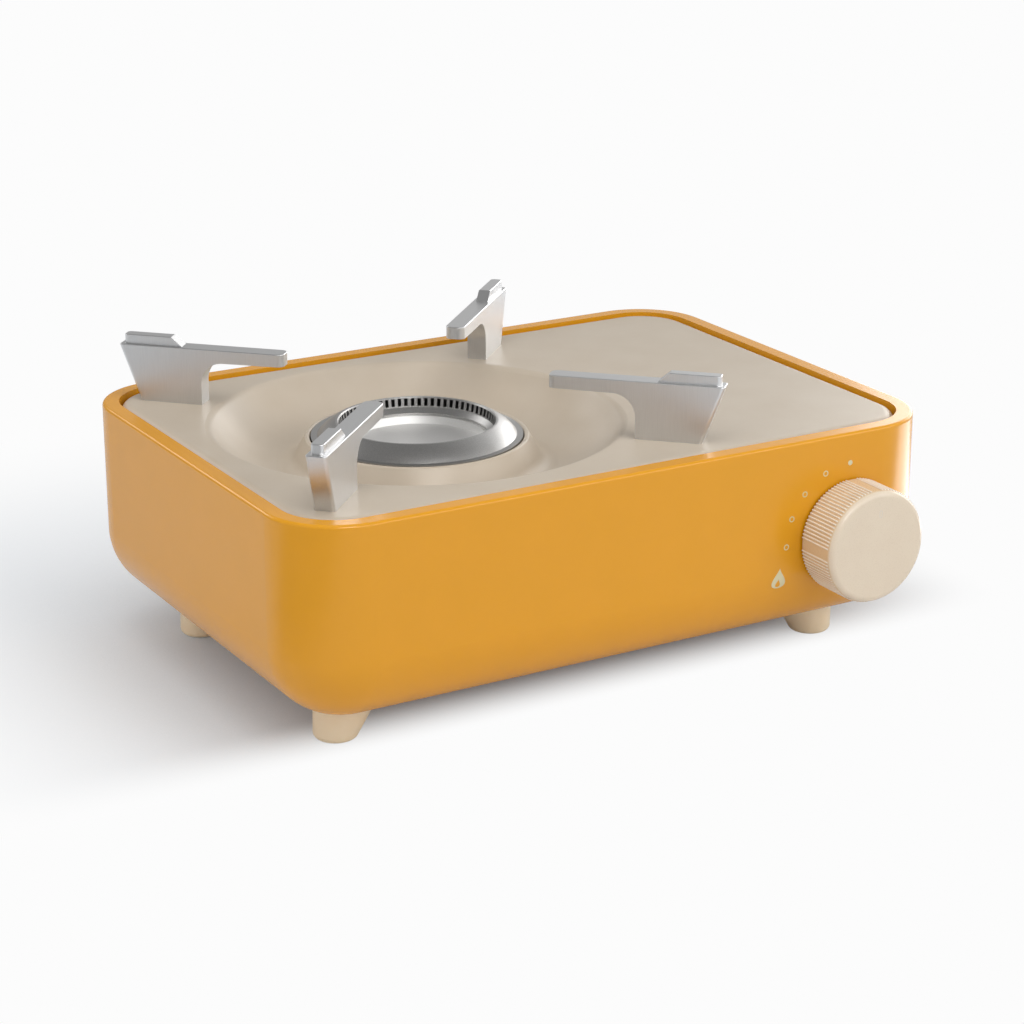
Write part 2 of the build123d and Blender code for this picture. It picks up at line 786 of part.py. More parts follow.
# ---------------------------------------------------------------- regulator
def regulator_body():
    """Valve block with the chamber base, the cartridge socket and the jet boss."""
    x0 = knob_x - valve_width / 2
    x1 = knob_x + valve_width / 2
    top = knob_z + valve_high
    block = span(x0, x1, valve_front, valve_rear, knob_z - valve_low, top)
    base = chamber_place * rod(chamber_radius, top, chamber_z)
    boss = socket * rod(boss_radius, 0, boss_length)
    start = mouth_reach + jet_gap + jet_length
    jet_boss = Rot(0, 90, 0) * rod(jet_boss_radius, start, start + 2 * jet_boss_radius + jet_length)
    jet_boss = Pos(0, 0, tube_height) * tube_place * jet_boss
    bottom = boss_length - socket_depth - seal_height
    bore = socket * rod(socket_radius, bottom, boss_length)
    stem_bore = panel * rod(stem_radius + running_gap, -valve_start - valve_bore_depth, -valve_start)
    screws = [place * rod(cap_screw_radius, 0, chamber_z) for place in cap_screw_places()]
    holes = [screw & span(x0 - valve_width, x1 + valve_width, front_y, rear_y, top, plate_z) for screw in screws]
    return block + base + boss + jet_boss - bore - stem_bore - holes


def cap_screw_places():
    bearings = (0, 90, 180, 270)
    return [chamber_place * Pos(*polar(cap_screw_circle, bearing), 0) for bearing in bearings]


def regulator_diaphragm():
    disc = chamber_place * rod(chamber_radius - cap_flange, chamber_z, cap_z)
    return disc - [place * rod(cap_screw_radius, 0, plate_z) for place in cap_screw_places()]


def regulator_cap():
    """Domed cover over the diaphragm and its spring."""
    flange = rod(chamber_radius, cap_z, cap_z + cap_flange)
    dome = rod(cap_dome_radius, cap_z, cap_z + cap_height)
    dome = round_top(dome, 2 * cap_wall)
    cavity = rod(cap_dome_radius - cap_wall, cap_z, cap_z + cap_height - cap_wall)
    body = chamber_place * (flange + dome - cavity)
    return body - [place * rod(cap_screw_radius, 0, plate_z) for place in cap_screw_places()]


def cap_screw():
    seat = cap_z + cap_flange
    head = rod(cap_screw_head, seat, seat + cap_screw_height)
    return head + rod(cap_screw_radius, knob_z + valve_high, seat)


def regulator_spring():
    """Compression spring between the diaphragm and the cap."""
    height = cap_height - cap_wall - 2 * spring_wire
    coil = Helix(pitch=height / spring_turns, height=height, radius=spring_radius)
    section = Plane(origin=coil @ 0, z_dir=coil % 0) * Circle(spring_wire)
    return chamber_place * Pos(0, 0, cap_z + spring_wire) * sweep(section, path=coil)


def gas_jet():
    start = mouth_reach + jet_gap
    body = turned(
        face_through(
            [
                (jet_bore, start),
                (jet_radius / 2, start),
                (jet_radius, start + jet_radius / 2),
                (jet_radius, start + jet_length),
                (jet_bore, start + jet_length),
            ]
        )
    )
    return Pos(0, 0, tube_height) * tube_place * (Rot(0, 90, 0) * body)


def inlet_seal():
    bottom = boss_length - socket_depth - seal_height
    return socket * tube(socket_radius, socket_radius / 2, bottom, bottom + seal_height)


def magnet_ring():
    return socket * tube(magnet_radius, boss_radius, sheet, sheet + magnet_length)


def cartridge_guide():
    """Backing plate with the tab that enters the notch in the cartridge collar."""
    plate = tube(magnet_radius, boss_radius, 0, sheet)
    low = magnet_radius + part_gap
    tab = span(-guide_width / 2, guide_width / 2, low, low + sheet, 0, guide_reach)
    neck = span(-guide_width / 2, guide_width / 2, magnet_radius - sheet, low + sheet, 0, sheet)
    return socket * (plate + neck + tab)


# ---------------------------------------------------------------- top plate
def dish_centers():
    """Centres of the tangent arcs in the dish's upper surface, and where they meet."""
    roll = (dish_radius, -dish_roll)
    lip = (ring_hole + collar_lip, -ring_drop - collar_lip)
    normal = 90 - collar_slope
    start = offset_point(lip, collar_lip + valley_curve, normal)
    valley_z = -dish_depth + valley_curve
    run = (start[1] - valley_z) / sin(radians(collar_slope))
    valley = (start[0] + run * cos(radians(collar_slope)), valley_z)
    apart = hypot(roll[0] - valley[0], roll[1] - valley[1])
    to_roll = dish_curve + dish_roll
    to_valley = dish_curve - valley_curve
    along = (apart**2 + to_valley**2 - to_roll**2) / (2 * apart)
    lift = sqrt(to_valley**2 - along**2)
    base = bearing_of(valley, roll)
    bowl = offset_point(offset_point(valley, along, base), lift, base + 90)
    return roll, bowl, valley, lip


def dish():
    """Pressed dish and collar as a chain of tangent arcs, one skin thick."""
    roll, bowl, valley, lip = dish_centers()
    steep = bearing_of(roll, bowl)
    low = bearing_of(bowl, valley)
    normal = 90 - collar_slope
    back = normal - 180
    skin = plate_skin
    edges = [
        arc(roll, dish_roll, 90, steep),
        arc(bowl, dish_curve, steep - 180, low),
        arc(valley, valley_curve, low, back),
        Line(offset_point(valley, valley_curve, back), offset_point(lip, collar_lip, normal)),
        arc(lip, collar_lip, normal, 180),
        Line(offset_point(lip, collar_lip, 180), offset_point(lip, collar_lip - skin, 180)),
        arc(lip, collar_lip - skin, 180, normal),
        Line(offset_point(lip, collar_lip - skin, normal), offset_point(valley, valley_curve + skin, back)),
        arc(valley, valley_curve + skin, back, low),
        arc(bowl, dish_curve + skin, low, steep - 180),
        arc(roll, dish_roll - skin, steep, 90),
        Line((dish_radius, -skin), (dish_radius, 0)),
    ]
    return Pos(0, 0, plate_z) * burner_place * turned(make_face(edges))


def support_screw_spots():
    spots = []
    for bearing in support_bearings.values():
        for reach in support_screw_places:
            spots.append(burner_place * Pos(*polar(reach, bearing), 0))
    return spots


def top_plate():
    """Pressed plate with rolled edges, a skirt and a dish; it lifts straight off the case."""
    block = rounded_block(plate_width, plate_depth, plate_corner, pad_z, plate_z)
    block = round_top(block, plate_roll)
    inner_width = plate_width - 2 * plate_skin
    inner_depth = plate_depth - 2 * plate_skin
    inner = rounded_block(inner_width, inner_depth, plate_corner - plate_skin, pad_z, plate_z - plate_skin)
    inner = round_top(inner, plate_roll - plate_skin)
    hole = burner_place * rod(dish_radius, 0, rim_z)
    screws = [spot * rod(support_screw_radius + screw_gap, 0, rim_z) for spot in support_screw_spots()]
    return block - inner - hole + dish() - screws


def support_plane(thickness):
    """Drawing plane of a support's side: x outwards from the burner, y up."""
    return Plane(origin=(0, thickness / 2, plate_z), x_dir=(1, 0, 0), z_dir=(0, -1, 0))


def pot_support(bearing):
    """Bar with rounded edges and a narrower raised block at its outer end."""
    under = support_rise - arm_depth
    edges = [
        Line((support_inner, 0), (support_inner, under - arm_fillet)),
        arc((support_inner - arm_fillet, under - arm_fillet), arm_fillet, 0, 90),
        Line((support_inner - arm_fillet, under), (support_tip, under + arm_taper)),
        Line((support_tip, under + arm_taper), (support_tip, support_rise)),
        Line((support_tip, support_rise), (support_top_outer, support_rise)),
        Line((support_top_outer, support_rise), (support_outer, 0)),
        Line((support_outer, 0), (support_inner, 0)),
    ]
    bar = extrude(support_plane(support_thickness) * make_face(edges), support_thickness)
    tip = [edge for edge in bar.edges() if edge.bounding_box().max.X < support_tip + 0.01]
    tip = [edge for edge in tip if edge.bounding_box().size.Y < 0.01]
    bar = fillet(tip, arm_tip_round)
    back = [edge for edge in bar.edges() if edge.bounding_box().min.X > support_outer - 0.01]
    back = [edge for edge in back if edge.bounding_box().size.Z > arm_depth]
    bar = fillet(back, support_back_round)
    top = bar.faces().sort_by(Axis.Z)[-1]
    bar = fillet(top.edges(), support_edge)
    end = support_top_outer - stud_end_inset
    stud_top = support_rise + stud_height
    stud_face = face_through(
        [
            (stud_foot, support_rise - stud_inset),
            (stud_foot, support_rise),
            (stud_foot + stud_ramp, stud_top),
            (end, stud_top),
            (end, support_rise - stud_inset),
        ]
    )
    width = support_thickness - 2 * stud_inset
    stud = extrude(support_plane(width) * stud_face, width)
    corners = [edge for edge in stud.edges() if edge.bounding_box().min.X > end - 0.01]
    corners = [edge for edge in corners if edge.bounding_box().size.Y < 0.01]
    stud = fillet(corners, stud_round)
    stud = fillet(stud.faces().sort_by(Axis.Z)[-1].edges(), support_edge)
    hole = rod(support_screw_radius, 0, plate_z + support_screw_length)
    holes = [Pos(reach, 0, 0) * hole for reach in support_screw_places]
    return burner_place * Rot(0, 0, bearing) * (bar + stud - holes)


def support_screw():
    seat = plate_z - plate_skin
    head = rod(support_screw_head, seat - support_screw_height, seat)
    return head + rod(support_screw_radius, seat, plate_z + support_screw_length - 2 * screw_gap)


# ---------------------------------------------------------------- write the parts
def all_parts():
    parts = {
        "case_shell": case_shell(),
        "foot_screws": group([Pos(x, y, 0) * foot_screw() for x, y, _ in foot_places().values()]),
        "foot_nuts": group([Pos(x, y, 0) * foot_nut() for x, y, _ in foot_places().values()]),
        "floor_screws": group([Pos(x, y, 0) * floor_screw() for x, y in floor_screw_places()]),
        "plate_pads": plate_pads(),
        "partition": partition(),
        "burner_bracket": burner_bracket(),
        "cartridge_cradle": cartridge_cradle(),
        "regulator_bracket": regulator_bracket(),
        "burner_head": burner_head(),
        "burner_pan": burner_pan(),
        "burner_bowl": burner_bowl(),
        "mixing_tube": mixing_tube(),
        "igniter_body": igniter_body(),
        "igniter_plunger": igniter_plunger(),
        "igniter_lead": igniter_lead(),
        "electrode_ceramic": electrode_ceramic(),
        "electrode_pin": electrode_pin(),
        "panel_bushing": panel_bushing(),
        "valve_stem": valve_stem(),
        "stem_cam": stem_cam(),
        "knob": knob(),
        "knob_clip": knob_clip(),
        "regulator_body": regulator_body(),
        "regulator_diaphragm": regulator_diaphragm(),
        "regulator_cap": regulator_cap(),
        "regulator_spring": regulator_spring(),
        "cap_screws": group([place * cap_screw() for place in cap_screw_places()]),
        "gas_jet": gas_jet(),
        "inlet_seal": inlet_seal(),
        "magnet_ring": magnet_ring(),
        "cartridge_guide": cartridge_guide(),
        "top_plate": top_plate(),
        "support_screws": group([spot * support_screw() for spot in support_screw_spots()]),
    }
    for name, (x, y, side) in foot_places().items():
        parts["foot_" + name] = foot(x, y, side)
    for name, bearing in support_bearings.items():
        parts["pot_support_" + name] = pot_support(bearing)
    return parts


os.makedirs("parts", exist_ok=True)
for name, part in all_parts().items():
    export_step(part, "parts/" + name + ".step")
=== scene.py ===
import json
from math import cos, pi, radians, sin

import bpy
import numpy as np
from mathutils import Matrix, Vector


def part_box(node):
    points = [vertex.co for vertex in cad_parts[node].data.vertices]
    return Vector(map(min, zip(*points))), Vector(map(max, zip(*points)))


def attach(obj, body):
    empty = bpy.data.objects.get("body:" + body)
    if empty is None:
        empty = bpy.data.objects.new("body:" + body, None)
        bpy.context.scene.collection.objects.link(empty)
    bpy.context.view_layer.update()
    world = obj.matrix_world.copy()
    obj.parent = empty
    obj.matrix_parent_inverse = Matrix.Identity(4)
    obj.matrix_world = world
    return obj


# Butane cassette stove: materials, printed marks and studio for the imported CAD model.
# Metres, +X right, +Y to the rear, +Z up, as in the CAD.

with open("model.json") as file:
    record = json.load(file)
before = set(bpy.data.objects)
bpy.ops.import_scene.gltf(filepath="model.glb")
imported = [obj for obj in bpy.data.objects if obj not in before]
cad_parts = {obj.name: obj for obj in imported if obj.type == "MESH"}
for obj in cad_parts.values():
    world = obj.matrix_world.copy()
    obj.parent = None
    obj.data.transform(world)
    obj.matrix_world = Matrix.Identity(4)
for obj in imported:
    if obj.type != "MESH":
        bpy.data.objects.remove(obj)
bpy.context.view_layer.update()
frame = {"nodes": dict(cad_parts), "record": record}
NODES = frame["nodes"]
MM = 0.001

# ---------------------------------------------------------------- sizes from the CAD
CASE_Y = 11.4 * MM                      # middle of the case
FRONT_Y = CASE_Y - 121.0 * MM
CASE_EDGE = 33.0 * MM                   # round from the walls into the underside
CASE_LOW = 19.6 * MM                    # underside
KNOB_X = 114.6 * MM
KNOB_Z = 66.8 * MM
KNOB_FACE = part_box("knob")[0].y
BURNER = (-47.3 * MM, 1.3 * MM + CASE_Y)
# From the knob's axis: the grooves' floor, the ribs' top, and the face's edge with its blend.
GROOVE_FLOOR, RIB_TOP = 26.88 * MM, 27.02 * MM
FACE_EDGE, FACE_BLEND = 26.5 * MM, 0.32 * MM

# ---------------------------------------------------------------- sizes of the print
INK = 0.03 * MM                         # thickness of the film
MARK_CENTER = (KNOB_X, 66.4 * MM)       # middle of the scale round the knob
MARK_RADIUS = 35.2 * MM
MARK_TURNS = (0.6, 23.9, 46.9, 68.1, 90.2)
DOT = (0.001 * MM, 1.25 * MM)           # inner and outer radius
RING = (0.95 * MM, 1.42 * MM)
FLAME_CENTER = (75.5 * MM, 51.7 * MM)
FLAME_SIZE, FLAME_LEAN = (7.6 * MM, 9.8 * MM), 0.8 * MM
CORE_CENTER = (FLAME_CENTER[0] - 0.3 * MM, FLAME_CENTER[1] - 2.35 * MM)
CORE_SIZE, CORE_LEAN = (2.7 * MM, 3.9 * MM), 0.5 * MM
DROP_BREADTH = 1.299                    # largest sin t (1 - cos t), half a drop's breadth
POINTER_CENTER = (KNOB_X + 0.9 * MM, KNOB_Z + 16.2 * MM)
POINTER_EDGE = (1.7 * MM, 3.5 * MM)
POINTER_CORE = (1.1 * MM, 2.9 * MM)

# ---------------------------------------------------------------- sizes of the patterns
POWDER_CLOUD = 22 * MM                  # drift of the film's thickness
MOULD_CLOUD = 9 * MM                    # drift of the resin's colour
STEEL_SPECK = 0.4 * MM
POLYMER_IOR = 1.5
SILICONE_IOR = 1.42


# ---------------------------------------------------------------- material tools
def linear(code):
    """sRGB hex to linear RGBA: c is c/12.92 below 0.04045, else ((c+0.055)/1.055)^2.4."""
    channels = [int(code[i:i + 2], 16) / 255 for i in (1, 3, 5)]
    return [c / 12.92 if c <= 0.04045 else ((c + 0.055) / 1.055) ** 2.4 for c in channels] + [1.0]


def add(tree, kind, inputs=None, links=None, **settings):
    """Adds one node, sets its properties and input values, and links its inputs."""
    made = tree.nodes.new(kind)
    for key, value in settings.items():
        setattr(made, key, value)
    for key, value in (inputs or {}).items():
        made.inputs[key].default_value = value
    for key, source in (links or {}).items():
        tree.links.new(source, made.inputs[key])
    return made


def start(name):
    """New material with its shader and its Object coordinates."""
    material = bpy.data.materials.new(name)
    material.use_nodes = True
    tree = material.node_tree
    tree.nodes.clear()
    shader = add(tree, "ShaderNodeBsdfPrincipled")
    add(tree, "ShaderNodeOutputMaterial", links={"Surface": shader.outputs["BSDF"]})
    place = add(tree, "ShaderNodeTexCoord").outputs["Object"]
    return material, tree, shader, place


def wear(tree, shader, cloud, grain, colours, rough, swing, depth):
    """Ties two patterns to a shader: cloud blends the colours, grain moves roughness and surface.

    Both patterns lie about 0.5. For the colours, the middle two fifths of the cloud's range are
    spread over the whole. The roughness goes from rough - swing to rough + swing.
    """
    share = add(tree, "ShaderNodeMapRange", {"From Min": 0.3, "From Max": 0.7}, {"Value": cloud})
    tint = add(tree, "ShaderNodeMix", {}, {"Factor": share.outputs["Result"]}, data_type="RGBA")
    tint.inputs["A"].default_value, tint.inputs["B"].default_value = map(linear, colours)
    tree.links.new(tint.outputs["Result"], shader.inputs["Base Color"])
    matt = add(tree, "ShaderNodeMapRange", {"To Min": rough - swing, "To Max": rough + swing},
               {"Value": grain})
    tree.links.new(matt.outputs["Result"], shader.inputs["Roughness"])
    relief = add(tree, "ShaderNodeBump", {"Strength": 1.0, "Distance": depth}, {"Height": grain})
    tree.links.new(relief.outputs["Normal"], shader.inputs["Normal"])


def powder_coat(name, colours, peel, depth, rough, swing=0.05):
    """Baked powder on pressed steel: a film that clouds a little, with an orange peel."""
    material, tree, shader, place = start(name)
    cloud = add(tree, "ShaderNodeTexNoise", {"Scale": 1 / POWDER_CLOUD, "Detail": 3.0},
                {"Vector": place})
    pebble = add(tree, "ShaderNodeTexNoise", {"Scale": 1 / peel, "Detail": 2.0},
                 {"Vector": place})
    wear(tree, shader, cloud.outputs["Fac"], pebble.outputs["Fac"], colours, rough, swing, depth)
    shader.inputs["IOR"].default_value = POLYMER_IOR
    return material


def brushed_steel(name, colours, width, run, depth, rough, swing=0.07):
    """Belt-ground stainless: noise of the scratch's width, drawn out upwards to its run."""
    material, tree, shader, place = start(name)
    laid = add(tree, "ShaderNodeMapping", {"Scale": (1 / width, 1 / width, 1 / run)},
               {"Vector": place})
    scratch = add(tree, "ShaderNodeTexNoise", {"Scale": 1.0, "Detail": 4.0},
                  {"Vector": laid.outputs["Vector"]}).outputs["Fac"]
    wear(tree, shader, scratch, scratch, colours, rough, swing, depth)
    shader.inputs["Metallic"].default_value = 1.0
    return material


def spun_steel(name, colours, feed, depth, rough, swing=0.07):
    """Stainless spun over a former: tool marks are noise of the distance from the burner's axis."""
    material, tree, shader, place = start(name)
    flat = add(tree, "ShaderNodeMapping",
               {"Location": (-BURNER[0], -BURNER[1], 0), "Scale": (1, 1, 0)}, {"Vector": place})
    reach = add(tree, "ShaderNodeVectorMath", {}, {0: flat.outputs["Vector"]}, operation="LENGTH")
    rings = add(tree, "ShaderNodeTexNoise", {"Scale": 1 / feed, "Detail": 2.0},
                {"W": reach.outputs["Value"]}, noise_dimensions="1D")
    speck = add(tree, "ShaderNodeTexNoise", {"Scale": 1 / STEEL_SPECK, "Detail": 4.0},
                {"Vector": place})
    both = add(tree, "ShaderNodeMix", {"Factor": 0.7},
               {"A": rings.outputs["Fac"], "B": speck.outputs["Fac"]})
    wear(tree, shader, speck.outputs["Fac"], both.outputs["Result"], colours, rough, swing, depth)
    shader.inputs["Metallic"].default_value = 1.0
    return material


def moulded(name, colours, spark, depth, rough, ior=POLYMER_IOR, swing=0.03):
    """Moulded plastic, rubber or ceramic, or ink: it clouds, and carries the mould's pebble."""
    material, tree, shader, place = start(name)
    cloud = add(tree, "ShaderNodeTexNoise", {"Scale": 1 / MOULD_CLOUD, "Detail": 2.0},
                {"Vector": place})
    pebble = add(tree, "ShaderNodeTexNoise", {"Scale": 1 / spark, "Detail": 2.0},
                 {"Vector": place})
    wear(tree, shader, cloud.outputs["Fac"], pebble.outputs["Fac"], colours, rough, swing, depth)
    shader.inputs["IOR"].default_value = ior
    return material


def grained_metal(name, colours, grain, depth, rough, swing=0.08):
    """Cast, plated or turned metal: one even grain in its colour, sheen and surface."""
    material, tree, shader, place = start(name)
    crystal = add(tree, "ShaderNodeTexNoise", {"Scale": 1 / grain, "Detail": 4.0},
                  {"Vector": place}).outputs["Fac"]
    wear(tree, shader, crystal, crystal, colours, rough, swing, depth)
    shader.inputs["Metallic"].default_value = 1.0
    return material


def shade_grooves(material, groove_shade, rib_light):
    """Paints shade and light on the knob's side by distance from its axis.

    Painted shade darkens the grooves and painted light pales the rib tops. Inside the face's edge
    the moulding keeps its own colour.
    """
    tree = material.node_tree
    shader = next(node for node in tree.nodes if node.type == "BSDF_PRINCIPLED")
    place = next(node for node in tree.nodes if node.type == "TEX_COORD").outputs["Object"]
    whole = shader.inputs["Base Color"].links[0].from_socket
    spoke = add(tree, "ShaderNodeMapping", {"Location": (-KNOB_X, 0, -KNOB_Z), "Scale": (1, 0, 1)},
                {"Vector": place})
    reach = add(tree, "ShaderNodeVectorMath", {}, {0: spoke.outputs["Vector"]},
                operation="LENGTH").outputs["Value"]
    top = add(tree, "ShaderNodeMapRange", {"From Min": GROOVE_FLOOR, "From Max": RIB_TOP},
              {"Value": reach})
    face = add(tree, "ShaderNodeMapRange",
               {"From Min": FACE_EDGE + FACE_BLEND, "From Max": FACE_EDGE}, {"Value": reach})
    side = add(tree, "ShaderNodeMix", {}, {"Factor": top.outputs["Result"]}, data_type="RGBA")
    side.inputs["A"].default_value, side.inputs["B"].default_value = linear(groove_shade), linear(rib_light)
    toned = add(tree, "ShaderNodeMix", {}, {"Factor": face.outputs["Result"]}, data_type="RGBA")
    tree.links.new(side.outputs["Result"], toned.inputs["A"])
    tree.links.new(whole, toned.inputs["B"])
    tree.links.new(toned.outputs["Result"], shader.inputs["Base Color"])


# ---------------------------------------------------------------- materials
# Each finish: name, its two near colours, its pattern's size, its relief and its roughness.

# Polyester powder coat, sprayed and baked: an even warm orange with a soft sheen. The peel is
# 1.4 mm across.
orange_powder = powder_coat(
    "orange_powder_coat", ("#E49E11", "#E69F14"), 1.4 * MM, 0.005 * MM, 0.24)
# The same coat in a matter cream, with a finer peel: it blurs what it mirrors to a pale glow.
cream_powder = powder_coat(
    "cream_powder_coat", ("#C5B7A4", "#C9BCAA"), 1.0 * MM, 0.004 * MM, 0.41)
# Stainless bar, belt-ground upright: streaky satin grey. Scratches are 0.05 mm wide, and drawn
# at 0.3 mm to show.
support_steel = brushed_steel(
    "brushed_stainless_bar", ("#D8D8D8", "#DEDEDE"), 0.3 * MM, 9 * MM, 0.002 * MM, 0.39)
# Stainless, spun and brushed: dark satin with soft broad highlights. The tool's feed is 0.15 mm,
# and drawn at 0.9 mm to show.
burner_steel = spun_steel(
    "spun_stainless", ("#A9A7A5", "#BDBCBA"), 0.9 * MM, 0.012 * MM, 0.38)
# The same steel in the bowl, with painted light: its colour is paler to brighten the bowl, and it
# is too matt to mirror the burner.
pale_painted_bowl_steel = spun_steel(
    "painted_light_bowl_stainless", ("#EEEDEB", "#F4F3F1"), 0.9 * MM, 0.008 * MM, 0.55)
# Polypropylene, injection-moulded: waxy, matt and cream. Its spark texture is 0.1 mm, and drawn
# at 0.4 mm to show.
cream_foot = moulded(
    "cream_moulded_foot", ("#FBE9C9", "#FCECCF"), 0.4 * MM, 0.006 * MM, 0.45)
# ABS, injection-moulded: smooth cream with a soft shine. Its grooves carry painted shade and its
# rib tops painted light.
cream_abs = moulded(
    "cream_abs", ("#E2D2BC", "#E4D5BF"), 0.35 * MM, 0.0015 * MM, 0.28)
# Painted shade in the grooves and painted light on the rib tops.
shade_grooves(cream_abs, "#DCC3A0", "#F1EADF")
# Pressed sheet, zinc-plated: bluish grey with a soft spangle 2.5 mm across.
zinc_sheet = grained_metal(
    "zinc_plated_sheet", ("#A9ACB0", "#BDBFC2"), 2.5 * MM, 0.01 * MM, 0.38)
# Zinc alloy, die-cast: dull grey with the sandy skin of the die.
zinc_casting = grained_metal(
    "zinc_die_casting", ("#9A9C9F", "#A9ABAD"), 0.8 * MM, 0.03 * MM, 0.5)
# Screw steel, nickel-plated: darker, with a small bright shine.
plated_screw = grained_metal(
    "plated_screw_steel", ("#8C8E92", "#A2A4A8"), 0.6 * MM, 0.01 * MM, 0.33)
# Free-cutting brass, turned: warm yellow with fine tool marks.
turned_brass = grained_metal(
    "turned_brass", ("#C79A4B", "#D4AA5E"), 0.5 * MM, 0.008 * MM, 0.28)
# Ferrite, pressed and sintered: near-black, gritty and faintly glassy.
ferrite = moulded(
    "sintered_ferrite", ("#2B2B2E", "#37373A"), 0.3 * MM, 0.02 * MM, 0.55, 2.0)
# Glass-filled nylon, moulded round the piezo: black and slightly rough.
black_plastic = moulded(
    "black_igniter_plastic", ("#151517", "#1D1D1F"), 0.4 * MM, 0.015 * MM, 0.45)
# Nitrile rubber, moulded: black and matt.
seal_rubber = moulded(
    "nitrile_rubber", ("#141414", "#1E1E1E"), 0.5 * MM, 0.015 * MM, 0.6)
# Silicone rubber, moulded: dark grey, with a skin that looks soft.
pad_silicone = moulded(
    "silicone_pad", ("#3A3A39", "#454543"), 0.5 * MM, 0.012 * MM, 0.5, SILICONE_IOR)
# Silicone sleeve, extruded over the lead: brown-black with a dull shine.
lead_sleeve = moulded(
    "silicone_lead_sleeve", ("#26231F", "#302C27"), 0.6 * MM, 0.012 * MM, 0.5, SILICONE_IOR)
# Alumina, pressed and fired: off-white with a hard, even gloss.
fired_ceramic = moulded(
    "fired_alumina", ("#E3DFD5", "#ECE8DF"), 0.3 * MM, 0.008 * MM, 0.35, 1.7)
# Enamel ink, screen-printed: a thin pale film, flatter than the coat under it.
mark_ink = moulded(
    "screen_print_ink", ("#DBD2AC", "#DED5B0"), 0.3 * MM, 0.004 * MM, 0.5)
# Ink, pad-printed on the knob: close to the plastic, and matter.
pointer_ink = moulded(
    "pale_pointer_ink", ("#D9CFC3", "#DCD3C8"), 0.3 * MM, 0.004 * MM, 0.5)

FINISHES = {
    "case_paint": orange_powder,
    "plate_enamel": cream_powder,
    "foot_plastic": cream_foot,
    "knob_plastic": cream_abs,
    "support_steel": support_steel,
    "burner_steel": burner_steel,
    "bowl_chrome": pale_painted_bowl_steel,
    "plated_steel": zinc_sheet,
    "screw_steel": plated_screw,
    "regulator_zinc": zinc_casting,
    "jet_brass": turned_brass,
    "seal_rubber": seal_rubber,
    "pad_rubber": pad_silicone,
    "igniter_plastic": black_plastic,
    "lead_rubber": lead_sleeve,
    "electrode_ceramic": fired_ceramic,
    "magnet_ferrite": ferrite,
}
slots = {entry["node"]: entry["material_slot"] for entry in frame["record"]["subparts"]}
for name, piece in NODES.items():
    piece.data.materials.clear()
    piece.data.materials.append(FINISHES[slots[name]])


# ---------------------------------------------------------------- printed marks
def front_wall(height):
    """y of the front wall at a height: flat, then a quarter round of radius r into the underside.

    With drop the depth below the round's start, y = front + r - sqrt(r^2 - drop^2).
    """
    drop = np.clip(CASE_LOW + CASE_EDGE - height, 0, CASE_EDGE)
    return FRONT_Y + CASE_EDGE - np.sqrt(CASE_EDGE**2 - drop**2)


def knob_face(height):
    """y of the knob's flat face, the same at every height."""
    return np.full_like(height, KNOB_FACE)


def skin(name, rows, columns, points, material, body):
    """Mesh from a grid of points: each is joined to the next row and the next column by a quad.

    The faces look the way of the step between rows crossed with the step between columns.
    """
    mesh = bpy.data.meshes.new(name)
    index = np.arange(rows * columns).reshape(rows, columns)
    corners = (index[:-1, :-1], index[1:, :-1], index[1:, 1:], index[:-1, 1:])
    quads = np.stack(corners, axis=-1).reshape(-1, 4)
    mesh.from_pydata(points.reshape(-1, 3).tolist(), [], quads.tolist())
    mesh.validate()
    mesh.materials.append(material)
    piece = bpy.data.objects.new(name, mesh)
    bpy.context.scene.collection.objects.link(piece)
    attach(piece, body)
    return piece


def printed(name, inner, outer, wall, ink, body, slot):
    """Print between two outlines in the wall's plane, laid on the wall and one ink film thick.

    The section goes from the inner outline to the outer by share u, as inner (1 - u) + outer u,
    and v runs round the outline, back to its start. The film rises from the wall, crosses at its
    full thickness and returns, so only its back is open, against the wall.
    """
    share = np.array([0.0, 0.0, 0.5, 1.0, 1.0])[:, None, None]
    lift = np.array([0.0, 1.0, 1.0, 1.0, 0.0])[:, None]
    flat = inner[None] * (1 - share) + outer[None] * share
    y = wall(flat[..., 1]) - INK * lift
    points = np.stack([flat[..., 0], y, flat[..., 1]], axis=-1)
    points = np.concatenate([points, points[:, :1]], axis=1)
    piece = skin(name, len(share), points.shape[1], points, ink, body)


def circle(center, radius, count=48):
    """Circle: at angle t, x = radius cos t and z = radius sin t from its centre."""
    angle = np.linspace(0, 2 * pi, count, endpoint=False)
    x, z = radius * np.cos(angle), radius * np.sin(angle)
    return np.stack([center[0] + x, center[1] + z], axis=-1)


def teardrop(center, width, height, lean, count=96):
    """Drop with its point up: at angle t from the point, x = -sin t (1 - cos t) and z = cos t.

    Both are scaled to its size. A place on it leans aside by lean times the square of its share
    of the height.
    """
    angle = np.linspace(0, 2 * pi, count, endpoint=False)
    x = np.sin(angle) * (1 - np.cos(angle)) / DROP_BREADTH * width / 2
    z = np.cos(angle) * height / 2
    aside = lean * (0.5 + z / height) ** 2
    return np.stack([center[0] - x + aside, center[1] + z], axis=-1)


def upright_slot(center, width, height, count=48):
    """Rounded slot: a circle as wide as the slot, x = w/2 cos t and z = w/2 sin t.

    Its upper half is raised and its lower half lowered by (height - width) / 2.
    """
    angle = np.linspace(0, 2 * pi, count, endpoint=False)
    rise = np.where(np.sin(angle) >= 0, 1, -1) * (height - width) / 2
    x = center[0] + np.cos(angle) * width / 2
    return np.stack([x, center[1] + np.sin(angle) * width / 2 + rise], axis=-1)


def on_dial(radius, turn):
    """Place on the scale: radius (cos a, sin a) from its centre.

    Angle a is a quarter turn plus the turn, anticlockwise from twelve o'clock.
    """
    angle = radians(90 + turn)
    return MARK_CENTER[0] + radius * cos(angle), MARK_CENTER[1] + radius * sin(angle)


